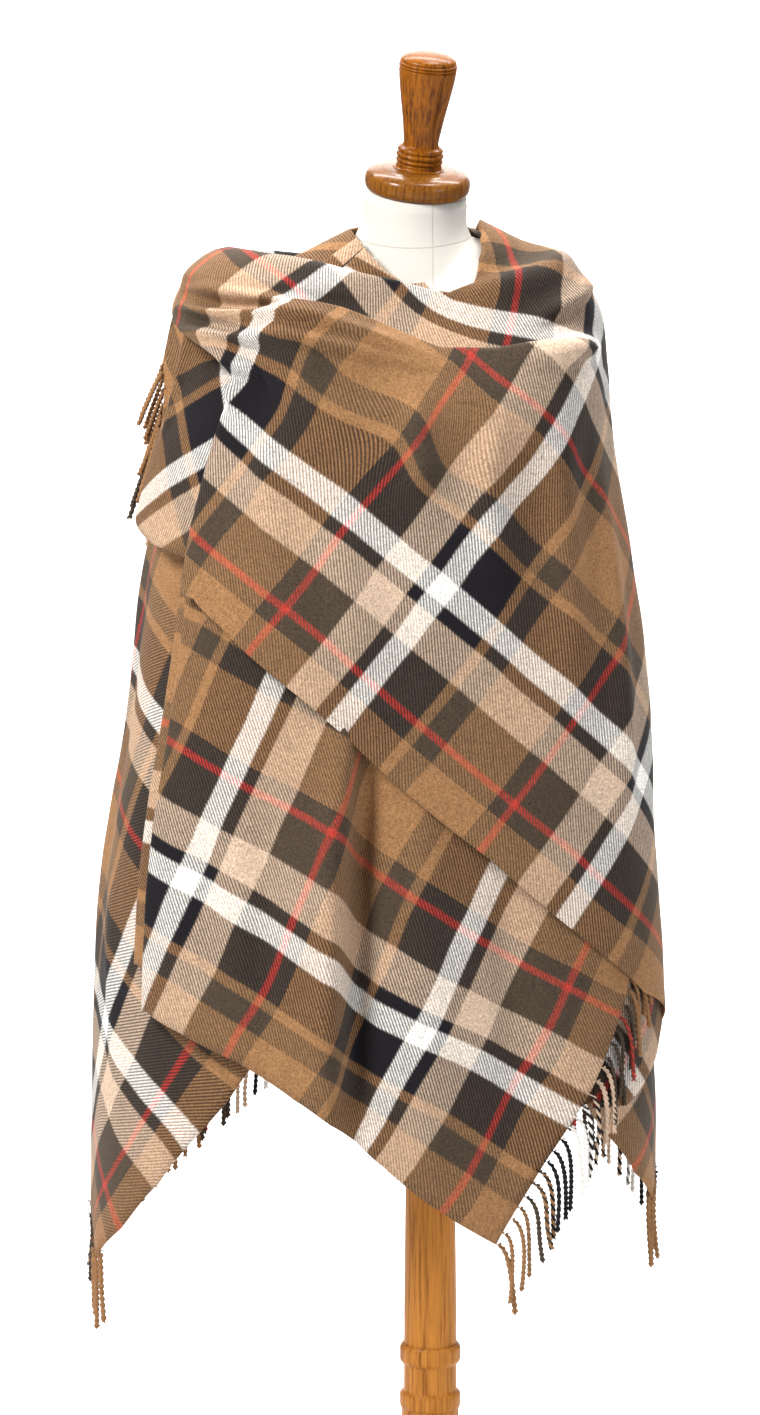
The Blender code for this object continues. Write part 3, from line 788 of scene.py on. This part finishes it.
def turned_wood(name, light, dark, axes, roughness, coat):
    """Stained hardwood with straight grain along its axis and a lacquer over it."""
    nodes = Nodes(name)
    nodes.set(Roughness=roughness, Specular_IOR_Level=0.10)
    nodes.set(Coat_Weight=coat, Coat_Roughness=0.12)
    grain = nodes.add("ShaderNodeCombineXYZ")
    along, first, second = axes
    for index, direction in enumerate((first, second, along * GRAIN_STRETCH)):
        share = nodes.add("ShaderNodeVectorMath", operation="DOT_PRODUCT")
        nodes.give(share.inputs[0], nodes.place)
        share.inputs[1].default_value = tuple(direction)
        nodes.give(grain.inputs[index], share.outputs["Value"])
    broad, streak, fine = (
        nodes.noise(*look, grain.outputs[0])
        for look in ((40.0, 3.0, 0.55), (330.0, 3.0, 0.60), (620.0, 2.0, 0.60))
    )
    share = nodes.plus(nodes.times(broad, 0.7), nodes.times(streak, 2.1))
    share = nodes.minus(nodes.plus(share, nodes.times(fine, 0.6)), 1.22, clamp=True)
    colour = nodes.ramp(share, [(0.0, dark), (0.60, light)])
    pores = nodes.math("GREATER_THAN", fine, 0.60)
    colour = nodes.mix(nodes.times(pores, 0.30), colour, dark)
    return nodes.complete(colour, fine, 0.12, 0.0005)


# ---- building the cloth
ROLL_STEPS = 10
TAIL_STEPS = 4
LEAST_ROLL = 0.0016
ROLL_HEIGHT = 0.8
# The two heights between which a stretch's sections fan out as they do laid flat.
FAN_LEVELS = (1.19, 0.75)


def rolled(parts, heights, lifts, tail, under):
    """Rows put before the first, so that the top edge turns in over itself and ends in
    a short tail that lies close to what is under it."""
    half = np.maximum(parts[:, 2:3] - under, LEAST_ROLL) / 2
    angles = np.linspace(-math.pi / 2, math.pi / 2, ROLL_STEPS + 1)[None, :-1]
    over_height = parts[:, 4:5] + half * np.cos(angles) * ROLL_HEIGHT
    over_lift = half * (np.sin(angles) - 1)
    tail_share = np.linspace(1.0, 0.0, TAIL_STEPS + 1)[None, :-1]
    tail_height = parts[:, 4:5] - tail * tail_share
    tail_lift = np.repeat(-2 * half, TAIL_STEPS, axis=1)
    return (
        np.concatenate([tail_height, over_height, heights], axis=1),
        np.concatenate([tail_lift, over_lift, lifts], axis=1),
    )


def hang(rows, per_row, steps, edges, at, creases, drags, roll):
    """One stretch: its sections, its points with their creases, and its flat places."""
    parts = sections(rows, per_row)
    if isinstance(steps, int):
        heights = plain_heights(parts, steps)
        lifts = np.zeros(heights.shape)
    else:
        heights, lifts = swagged_heights(parts, *steps)
    if roll:
        heights, lifts = rolled(parts, heights, lifts, *roll)
    grid, normal, turn = place(parts, heights, lifts)
    flat = unrolled(parts, heights, grid, *FAN_LEVELS)
    face = 1.0 if parts[-1, 0] > parts[0, 0] else -1.0
    rise = creased(turn, heights, creases) + waves(grid)
    grid = grid + normal * rise[..., None]
    flat = weave_places(flat, grid, edges, per_row, face, at)
    flat = dragged(flat, turn, heights, drags)
    return {"grid": grid, "flat": flat, "turn": turn, "per_row": per_row}


def shell(name, grid, flat, material):
    """A stretch's points as a mesh of the cloth's thickness."""
    faces = grid_faces(*grid.shape[:2])
    piece = mesh_piece(name, grid.reshape(-1, 3), faces, material, flat.reshape(-1, 2))
    thick = piece.modifiers.new("thickness", "SOLIDIFY")
    thick.thickness = CLOTH_THICKNESS
    thick.offset = 0.0
    return piece


# ---- fringe
HEM_CENTRE = -0.05
TASSEL_PITCH = 0.0140
TASSEL_STRAND = 0.0019
TASSEL_RINGS = 26
TASSEL_SIDES = 6
TASSEL_TURNS = 6.5
# How far below the hem a tassel has turned from the warp to hanging.
TASSEL_FALL = 0.017
TASSEL_INSET = 0.003
# How tassels differ: in place, length, lean, sway, distance, twist and thickness, and in
# how many of them the strands are of two colours.
PLACE_SPREAD = 0.0018
LENGTH_SHARES = (0.88, 0.97)
LEAN_SPREAD = 0.07
SWAY = 0.0016
SWAY_WAVES = (3.0, 7.0)
STAND_SPREAD = 0.0022
TWIST_SHARES = (0.85, 1.15)
SIZE_SHARES = (0.90, 1.12)
MIXED_SHARE = 0.45
MIXED_APART = 0.0045
PLAIN_APART = 0.001
# Along a tassel: its strands' distance from its middle, and their thickness.
GATHER = ((0.0, 0.10, 0.92, 1.0), (2.1, 0.72, 0.72, 1.1))
TAPER = ((0.0, 0.06, 0.8, 0.97, 1.0), (0.7, 1.0, 0.98, 1.05, 0.45))


def hem_line(made, first, last):
    """The hem of a fringed stretch between two rows: points, turns, lifts, flat places
    and the way the warp leaves it, as sideways and downward shares."""
    chosen = slice(round(first * made["per_row"]), round(last * made["per_row"]) + 1)
    line = made["grid"][chosen, -1]
    turn = made["turn"][chosen, -1]
    plain = drape_points(turn, ring_at(turn, line[:, 2]))[:, :2]
    off = line[:, :2] - plain
    outward = np.einsum("ij,ij->i", off, plain - np.array([HEM_CENTRE, 0.0]))
    lift = np.linalg.norm(off, axis=1) * np.sign(outward)
    step = np.gradient(line, axis=0)
    beside = np.hypot(step[:, 0], step[:, 1]) * np.sign(np.gradient(turn))
    length = np.hypot(beside, step[:, 2])
    away = np.stack([step[:, 2], beside], axis=-1) / length[:, None]
    away *= np.sign(away[:, 1:2])
    columns = [line, turn[:, None], lift[:, None], made["flat"][chosen, -1], away]
    return np.concatenate(columns, axis=1)


def tassel_path(row, shares, length, lean, rng):
    """Down a tassel: it leaves the hem along the warp and then hangs."""
    point, turn, lift, away = row[:3], row[3], row[4], row[7:9]
    run = shares * length
    bend = np.exp(-run / TASSEL_FALL)
    heading = away * bend[:, None] + np.array([lean, 1.0]) * (1 - bend[:, None])
    heading /= np.hypot(*heading.T)[:, None]
    gone = np.cumsum(heading * np.gradient(run)[:, None], axis=0)
    beside, drop = (gone - gone[0]).T
    beside = beside + rng.uniform(-SWAY, SWAY) * np.sin(shares * rng.uniform(*SWAY_WAVES))
    turns = turn + beside / REACH
    heights = point[2] - drop
    ring = ring_at(turns, heights)
    normal = drape_normals(turns, ring)
    stand = lift + rng.normal(0.0, STAND_SPREAD) * shares**2
    path = drape_points(turns, ring) + normal * stand[:, None]
    path[:, 2] += np.minimum(heights - RINGS[-1, 0], 0.0)
    return path + (point - path[0]) * (1 - shares)[:, None], turns


def tassels(name, line, material, seed):
    """Twisted two-strand tassels along a hem."""
    rng = np.random.default_rng(seed)
    run = run_from_zero(np.linalg.norm(np.diff(line[:, :3], axis=0), axis=1))
    count = int(run[-1] / TASSEL_PITCH)
    points, faces, places = [], [], []
    shares = np.linspace(0.0, 1.0, TASSEL_RINGS)
    corners = np.arange(TASSEL_SIDES) * 2 * math.pi / TASSEL_SIDES
    gather, taper = np.interp(shares, *GATHER), np.interp(shares, *TAPER)
    for number in range(count):
        along = TASSEL_INSET + (run[-1] - 2 * TASSEL_INSET) * number / (count - 1)
        along = np.clip(along + rng.uniform(-PLACE_SPREAD, PLACE_SPREAD), 0.001, run[-1] - 0.001)
        row = np.array([np.interp(along, run, column) for column in line.T])
        length = FRINGE_REACH * rng.uniform(*LENGTH_SHARES)
        lean = rng.normal(0.0, LEAN_SPREAD)
        centre, turns = tassel_path(row, shares, length, lean, rng)
        outward = np.stack([np.sin(turns), -np.cos(turns), np.zeros(len(turns))], axis=-1)
        beside = np.stack([-outward[:, 1], outward[:, 0], np.zeros(len(turns))], axis=-1)
        hand = rng.uniform(0, 2 * math.pi)
        twists = TASSEL_TURNS * rng.uniform(*TWIST_SHARES)
        size = TASSEL_STRAND * rng.uniform(*SIZE_SHARES)
        apart = MIXED_APART if rng.uniform() < MIXED_SHARE else PLAIN_APART
        for strand in (0, 1):
            twist = hand + strand * math.pi + shares * twists * 2 * math.pi
            middle = centre + outward * (np.cos(twist) * size * gather)[:, None]
            middle = middle + beside * (np.sin(twist) * size * gather)[:, None]
            faces += loft_faces(TASSEL_RINGS, TASSEL_SIDES, len(points))
            for at, out, side, thick in zip(middle, outward, beside, size * taper):
                for corner in corners:
                    spread = out * math.cos(corner) + side * math.sin(corner)
                    points.append(at + spread * thick)
                    places.append((row[5] + (strand * 2 - 1) * apart, row[6]))
    return mesh_piece(name, points, faces, material, np.array(places))


# ---- the form and its wood
def leaning_axes(lean_forward, lean_side):
    """A leaning axis and two directions square to it."""
    forward, side = math.radians(lean_forward), math.radians(lean_side)
    axis = np.array([math.sin(side), -math.sin(forward), math.cos(forward) * math.cos(side)])
    axis /= np.linalg.norm(axis)
    first = np.cross(np.array([0.0, 1.0, 0.0]), axis)
    first /= np.linalg.norm(first)
    return axis, first, np.cross(axis, first)


def closed_loft(name, rings, material):
    """A smooth closed skin through rings of points, with flat ends."""
    faces = loft_faces(len(rings), len(rings[0]))
    return mesh_piece(name, np.concatenate(rings), faces, material)


def turned(name, profile, centre, axes, material, sides=128, shape=None):
    """A turned piece on an axis. Its profile is radius and height, softly rounded."""
    axis, first, second = axes
    angles = np.arange(sides) * 2 * math.pi / sides
    spread = first * np.cos(angles)[:, None] + second * np.sin(angles)[:, None]
    rings = []
    for radius, height in between_rows(metres(profile), PROFILE_STEPS):
        reach = shape(angles, radius, height)[:, None] if shape else radius
        rings.append(np.array(centre) + axis * height + spread * reach)
    return closed_loft(name, rings, material)


PROFILE_STEPS = 4
FLUTE_TURN = math.radians(-54.0)
FLUTE_WIDTH = math.radians(4.6)
FLUTE_DEPTH = 0.0040
FLUTE_REACH = (0.0435, 0.1215)
FLUTE_RUN_IN = 0.030
FLUTE_RUN_OUT = 0.004


def fluted(angles, radius, height):
    """The finial's radius round its axis, with one carved groove down its side."""
    low, high = FLUTE_REACH
    ends = eased((height - low) / FLUTE_RUN_IN) * eased((high - height) / FLUTE_RUN_OUT)
    away = (angles - FLUTE_TURN + math.pi) % (2 * math.pi) - math.pi
    return radius - FLUTE_DEPTH * ends * np.exp(-((away / FLUTE_WIDTH) ** 2))


FORM_SIDES = 160
# height, half width, front depth, back depth, from the form's foot to its chest
FORM_RINGS = (
    (790, 144, 95.4, 97.2),
    (796, 155.2, 102.82, 104.76),
    (810, 160, 106, 108),
    (880, 164, 110, 112),
    (960, 150, 104, 100),
    (1060, 126, 92, 80),
    (1150, 138, 104, 82),
    (1250, 160, 122, 90),
    (1330, 168, 112, 94),
)
FORM_CENTRE = -0.013
FORM_INSET = 0.0015
# Where the form follows the drape's rings, from the chest up to the neck.
SHOULDER_RINGS = (3.0, 0.8, 24)
NECK_RING = 0.2
NECK_RINGS = 8
NECK_HOLLOW = 0.05
FORM_STEPS = 5
NECK_CENTRE = (-0.0205, 0.000)
NECK_RADIUS = 0.0645
BRIM_RADIUS = 0.0575
BRIM_BEVEL = 0.0025
BRIM_HEIGHTS = (-0.0260, -0.0144)
NECK_DROP = 0.004
CAP_CENTRE = (-0.0155, -0.004, 1.608)
CAP_LEAN_FORWARD = 18.0
CAP_LEAN_SIDE = 5.0


def torso_points():
    """Rings of the form from its base to the top of its neck."""
    turns = np.radians(np.arange(FORM_SIDES) * 360.0 / FORM_SIDES)
    sine, cosine = np.sin(turns), np.cos(turns)
    built = []
    for height, width, front, back in between_rows(metres(FORM_RINGS), FORM_STEPS):
        depth = np.where(cosine > 0, front, back)
        flat = np.full(FORM_SIDES, height)
        built.append(np.stack([FORM_CENTRE + width * sine, -depth * cosine, flat], axis=-1))
    for ring in np.linspace(*SHOULDER_RINGS):
        where = np.full(FORM_SIDES, ring)
        built.append(drape_points(turns, where) - drape_normals(turns, where) * FORM_INSET)
    foot = drape_points(turns, np.full(FORM_SIDES, NECK_RING))
    foot[:, 0] = NECK_CENTRE[0] + NECK_RADIUS * sine
    foot[:, 1] = NECK_CENTRE[1] - NECK_RADIUS * cosine
    foot[:, 2] -= NECK_DROP
    axis, first, second = leaning_axes(CAP_LEAN_FORWARD, CAP_LEAN_SIDE)
    spread = first * sine[:, None] - second * cosine[:, None]
    brim, top = (np.array(CAP_CENTRE) + axis * height for height in BRIM_HEIGHTS)
    brim = brim + spread * BRIM_RADIUS
    for share in np.linspace(0.0, 1.0, NECK_RINGS):
        waist = 1.0 - NECK_HOLLOW * math.sin(share * math.pi)
        ring = foot * (1 - share) + brim * share
        middle = ring.mean(axis=0)
        built.append(middle + (ring - middle) * waist)
    built.append(top + spread * (BRIM_RADIUS - BRIM_BEVEL))
    return built


# Turned profiles: radius and height
BASE_PROFILE = (
    (174, 0), (179, 2.5), (180, 8), (180, 17), (177.5, 22.5),
    (170, 25.5), (130, 28.4), (75, 30.6), (56, 32.2), (50, 34),
)
POST_PROFILE = (
    (33, 34.4), (33, 100), (32.5, 219), (33, 225), (34.2, 228),
    (34.5, 235), (34.2, 242), (30.6, 245), (30, 251), (30, 274),
    (31.8, 277), (34.3, 281), (34.5, 288), (34.3, 295), (31.8, 299),
    (29.8, 302), (29.6, 350), (28.4, 460), (28, 560), (28, 789.6),
)
CAP_PROFILE = (
    (52, -14.2), (55.2, -12.8), (57.8, -9), (58.7, -3), (57.8, 3),
    (55, 7.2), (50, 9.8), (44, 11.4), (40, 12.5),
)
FINIAL_PROFILE = (
    (28.5, 12.9), (26.2, 13.8), (25.2, 15), (25, 16.2), (25, 18),
    (23.8, 19.1), (25.1, 20.3), (26, 22), (25.1, 23.7), (23.8, 24.7),
    (25.3, 25.9), (26.5, 28), (25.4, 30.1), (23.8, 31.1), (24.7, 32.1),
    (25.1, 33.7), (24.1, 35.7), (20.6, 38), (19.5, 41.5), (20.3, 49.5),
    (23.4, 69.5), (27.3, 91.5), (30.3, 109.5), (31.6, 120.5), (31.7, 123.3),
    (30.3, 124.2), (31.9, 125.2), (32, 126.6), (30.4, 127.5), (31.8, 128.4),
    (31.7, 129.8), (30, 130.7), (30.7, 131.9), (29.2, 134.7), (24, 137.7),
    (14, 140.1), (5, 140.9),
)

# Creases: turn and height of one end, turn and height of the other, width, rise, lap
BACK_CREASES = (
    (-100, 1380, -104, 600, 30, 7, 0.8),
    (-128, 1400, -138, 700, 34, -7, 1),
    (-150, 1460, -156, 900, 26, 9, 0.8),
    (-176, 1420, -182, 740, 36, -8, 1),
    (-196, 1460, -204, 800, 28, 9, 0.8),
    (-222, 1420, -232, 720, 34, -6, 1),
    (-246, 1360, -254, 620, 30, 7, 0.8),
    (-78, 860, -66, 560, 24, 5, 0.8),
    (-160, 1360, -200, 1330, 20, 5, 0.6),
)
RIGHT_FRONT_CREASES = (
    (-6, 1060, -9, 550, 34, 22, 0.32),
    (-3, 1030, -4.5, 540, 14, -22, 1),
    (-24, 980, -21, 620, 18, -10, 1),
    (8, 980, 10, 570, 26, 10, 0.8),
    (-38, 940, -32, 700, 20, -8, 1),
    (27, 880, 31, 540, 22, -10, 1),
)
# Drags: turn, height, radius, across, down
RIGHT_FRONT_DRAGS = (
    (-7, 720, 100, 12, -10),
    (22, 620, 100, -8, 6),
)
# Troughs of the gather on the shoulder, shared by the layers that lie there.
GATHER_CREASES = (
    (-74, 1444, -44, 1438, 6.5, -12, 1),
    (-74, 1428, -46, 1413, 6, -11, 1),
    (-72, 1404, -50, 1385, 6, -9, 1),
)
LEFT_FRONT_CREASES = GATHER_CREASES + (
    (-110, 1464, -20, 1464, 11, 5, 0.6),
    (-82, 1454, -34, 1443, 9, 13, 0.25),
    (-80, 1436, -28, 1424, 9, 11, 0.3),
    (-82, 1418, 10, 1384, 15, 16, 0.25),
    (-80, 1408, -30, 1366, 13, 12, 0.3),
    (-60, 1405, -42, 1330, 14, 11, 0.35),
    (-46, 1432, 4, 1396, 11, 15, 0.22),
    (96, 1520, 26, 1468, 7, 16, 2.4),
    (90, 1534, 32, 1488, 8, -6, 1),
    (88, 1488, 40, 1440, 11, 13, 0.3),
    (70, 1424, 30, 1392, 16, 12, 0.4),
    (0, 1365, 10, 1250, 22, 15, 0.8),
    (22, 1360, 28, 1140, 24, 13, 0.8),
    (46, 1380, 46, 1000, 28, 12, 0.8),
    (64, 1320, 58, 860, 24, 11, 0.8),
    (-36, 1330, -22, 1170, 20, 10, 0.8),
    (-12, 1270, -4, 1050, 24, 9, 0.8),
)
LEFT_FRONT_DRAGS = (
    (2, 1330, 60, 22, 14),
    (14, 1300, 50, -16, -6),
    (34, 1300, 60, 10, 8),
    (-30, 1400, 40, 8, -12),
)
THROWN_CREASES = GATHER_CREASES + (
    (-76, 1480, -74, 1300, 8, 6, 0.8),
    (-92, 1480, -92, 1340, 8, 6, 0.8),
    (-108, 1480, -108, 1300, 10, 7, 0.8),
)

upright = leaning_axes(0.0, 0.0)
leaning = leaning_axes(CAP_LEAN_FORWARD, CAP_LEAN_SIDE)
plaid = plaid_cloth()
yarn = fringe_yarn()
cream = canvas()
dark_wood = turned_wood(
    "stained wood", (0.300, 0.092, 0.0040), (0.050, 0.012, 0.0010), leaning, 0.36, 0.13
)
# The cap's wood is a lighter, paler copy of the finial's dark wood: the lightening is painted
# highlight.
cap_wood_painted_highlight = turned_wood(
    "cap wood with painted highlight", (0.250, 0.090, 0.0100), (0.095, 0.029, 0.0030), leaning, 0.34, 0.26
)
honey_wood = turned_wood(
    "honey wood", (0.500, 0.200, 0.034), (0.200, 0.062, 0.010), upright, 0.46, 0.05
)

# node, sections, points between sections, points down (or above, through and below its
# swag fold), hem edges and the thread they run along, place in the plaid where the first
# edge starts, creases, drags, length and clearance of its rolled top edge
STRETCHES = (
    (
        "ruana_back", BACK_SECTIONS, 8, 140,
        ((4, 20, "weft"), (0, 4, "warp"), (20, 22, "warp")),
        (0.040, 0.036), BACK_CREASES, (), (),
    ),
    (
        "ruana_right_front", RIGHT_FRONT_SECTIONS, 10, 140,
        ((4, 12, "warp"), (12, 17, "weft")),
        (0.034, 0.040), RIGHT_FRONT_CREASES, RIGHT_FRONT_DRAGS, (),
    ),
    (
        "ruana_side_fold", SIDE_FOLD_SECTIONS, 12, 120,
        ((0, 5, "warp"),),
        (0.034, 0.0), (), (), (),
    ),
    (
        "ruana_left_front", LEFT_FRONT_SECTIONS, 9, (20, 48, 100),
        ((6, 17, "warp"),),
        (0.040, 0.0), LEFT_FRONT_CREASES, LEFT_FRONT_DRAGS, (0.020, 0.0045),
    ),
    (
        "ruana_thrown_end", THROWN_SECTIONS, 14, 70,
        ((7, 13, "weft"),),
        (-0.075, 0.040), THROWN_CREASES, (), (0.018, 0.0045),
    ),
)
cloth = {}
for name, rows, per_row, steps, edges, at, creases, drags, roll in STRETCHES:
    made = hang(rows, per_row, steps, edges, at, creases, drags, roll)
    made["piece"] = shell(name + "_cloth", made["grid"], made["flat"], plaid)
    cloth[name] = made

fringes = {}
for name, of, first, last, seed in (
    ("fringe_back", "ruana_back", 3.75, 20.25, 11),
    ("fringe_right_front", "ruana_right_front", 12, 16, 12),
    ("fringe_thrown_end", "ruana_thrown_end", 6, 13, 13),
):
    fringes[name] = tassels(name + "_tassels", hem_line(cloth[of], first, last), yarn, seed)

ORIGIN = (0.0, 0.0, 0.0)
form = {
    "torso": closed_loft("torso_canvas", torso_points(), cream),
    "post": turned("post_turned", POST_PROFILE, ORIGIN, upright, honey_wood),
    "base": turned("base_turned", BASE_PROFILE, ORIGIN, upright, honey_wood, 160),
    "neck_cap": turned("neck_cap_turned", CAP_PROFILE, CAP_CENTRE, leaning, cap_wood_painted_highlight),
    "finial": turned(
        "finial_turned", FINIAL_PROFILE, CAP_CENTRE, leaning, dark_wood, 300, fluted
    ),
}

shown = {name: made["piece"] for name, made in cloth.items()} | fringes | form
SLOTS = {"torso": "canvas", "post": "honey_wood", "base": "honey_wood"}
SLOTS |= {"neck_cap": "dark_wood", "finial": "dark_wood"}
SLOTS |= dict.fromkeys(cloth, "plaid_wool") | dict.fromkeys(fringes, "fringe_wool")
for name, piece in shown.items():
    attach(piece, "root")
    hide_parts(name)

# ---- the room, the lights and the camera
FLOOR_HALF_WIDTH = 5.0
FLOOR_FRONT = -6.0
WALL_HALF_WIDTH = 1.25
WALL_TOP = 4.2
CURVE_START = 1.6
CURVE_RADIUS = 1.2
CURVE_STEPS = 16


def pale_paper():
    nodes = Nodes("pale paper")
    fleck = nodes.times(nodes.noise(3.0, 3.0, 0.5), 0.10)
    nodes.set(Roughness=0.9, Base_Color=nodes.mix(fleck, (0.92,) * 3, (0.828,) * 3))
    return nodes.material


def paper_sweep():
    """A sweep of pale paper: a wide floor, then a narrower curve and wall behind."""
    profile = [(FLOOR_FRONT, 0.0), (0.0, 0.0), (CURVE_START, 0.0)]
    for step in range(1, CURVE_STEPS + 1):
        angle = step / CURVE_STEPS * math.pi / 2
        run = CURVE_START + CURVE_RADIUS * math.sin(angle)
        profile.append((run, CURVE_RADIUS * (1 - math.cos(angle))))
    profile.append((CURVE_START + CURVE_RADIUS, WALL_TOP))
    points = []
    for y, z in profile:
        half = WALL_HALF_WIDTH if z > 0 else FLOOR_HALF_WIDTH
        points += [(-half, y, z), (half, y, z)]
    faces = [(k, k + 1, k + 3, k + 2) for k in range(0, len(points) - 2, 2)]
    return mesh_piece("paper_sweep", points, faces, pale_paper())


paper_sweep()


def added(name, data, place_at, aim):
    """A lamp or a camera that looks from its place at its aim."""
    thing = bpy.data.objects.new(name, data)
    thing.location = place_at
    thing.rotation_euler = (Vector(aim) - Vector(place_at)).to_track_quat("-Z", "Y").to_euler()
    bpy.context.scene.collection.objects.link(thing)
    return thing


# name, place, aim, width and height, power, colour
LIGHTS = (
    ("key", (-2.1, -1.9, 3.3), (0, 0, 1.10), (0.9, 0.9), 150, (1.0, 0.985, 0.96)),
    ("fill", (2.6, -2.4, 1.9), (0, 0, 1.0), (1.2, 1.8), 26, (0.97, 0.985, 1.0)),
    ("top", (0.5, -0.2, 3.8), (0, 0, 1.0), (0.9, 0.9), 55, (1.0, 1.0, 1.0)),
    ("wall", (0.0, 1.2, 3.8), (0, 3.0, 1.0), (4.0, 0.8), 230, (1.0, 1.0, 1.0)),
)
for name, place_at, aim, size, power, colour in LIGHTS:
    light = bpy.data.lights.new(name, "AREA")
    light.shape = "RECTANGLE"
    light.size, light.size_y = size
    light.energy = power
    light.color = colour
    added(name, light, place_at, aim)

world = bpy.data.worlds.new("studio")
world.use_nodes = True
sky = world.node_tree.nodes["Background"].inputs
sky["Color"].default_value = (0.93, 0.95, 1.0, 1.0)
sky["Strength"].default_value = 0.30
bpy.context.scene.world = world
bpy.context.scene.view_settings.view_transform = "Standard"

CAMERA_PLACE = (-0.057, -3.985, 1.365)
CAMERA_AIM = (-0.057, 0.0, 1.0225)
lens = bpy.data.cameras.new("camera")
lens.sensor_width = 36.0
lens.sensor_fit = "AUTO"
lens.lens = 91.0
bpy.context.scene.camera = added("camera", lens, CAMERA_PLACE, CAMERA_AIM)
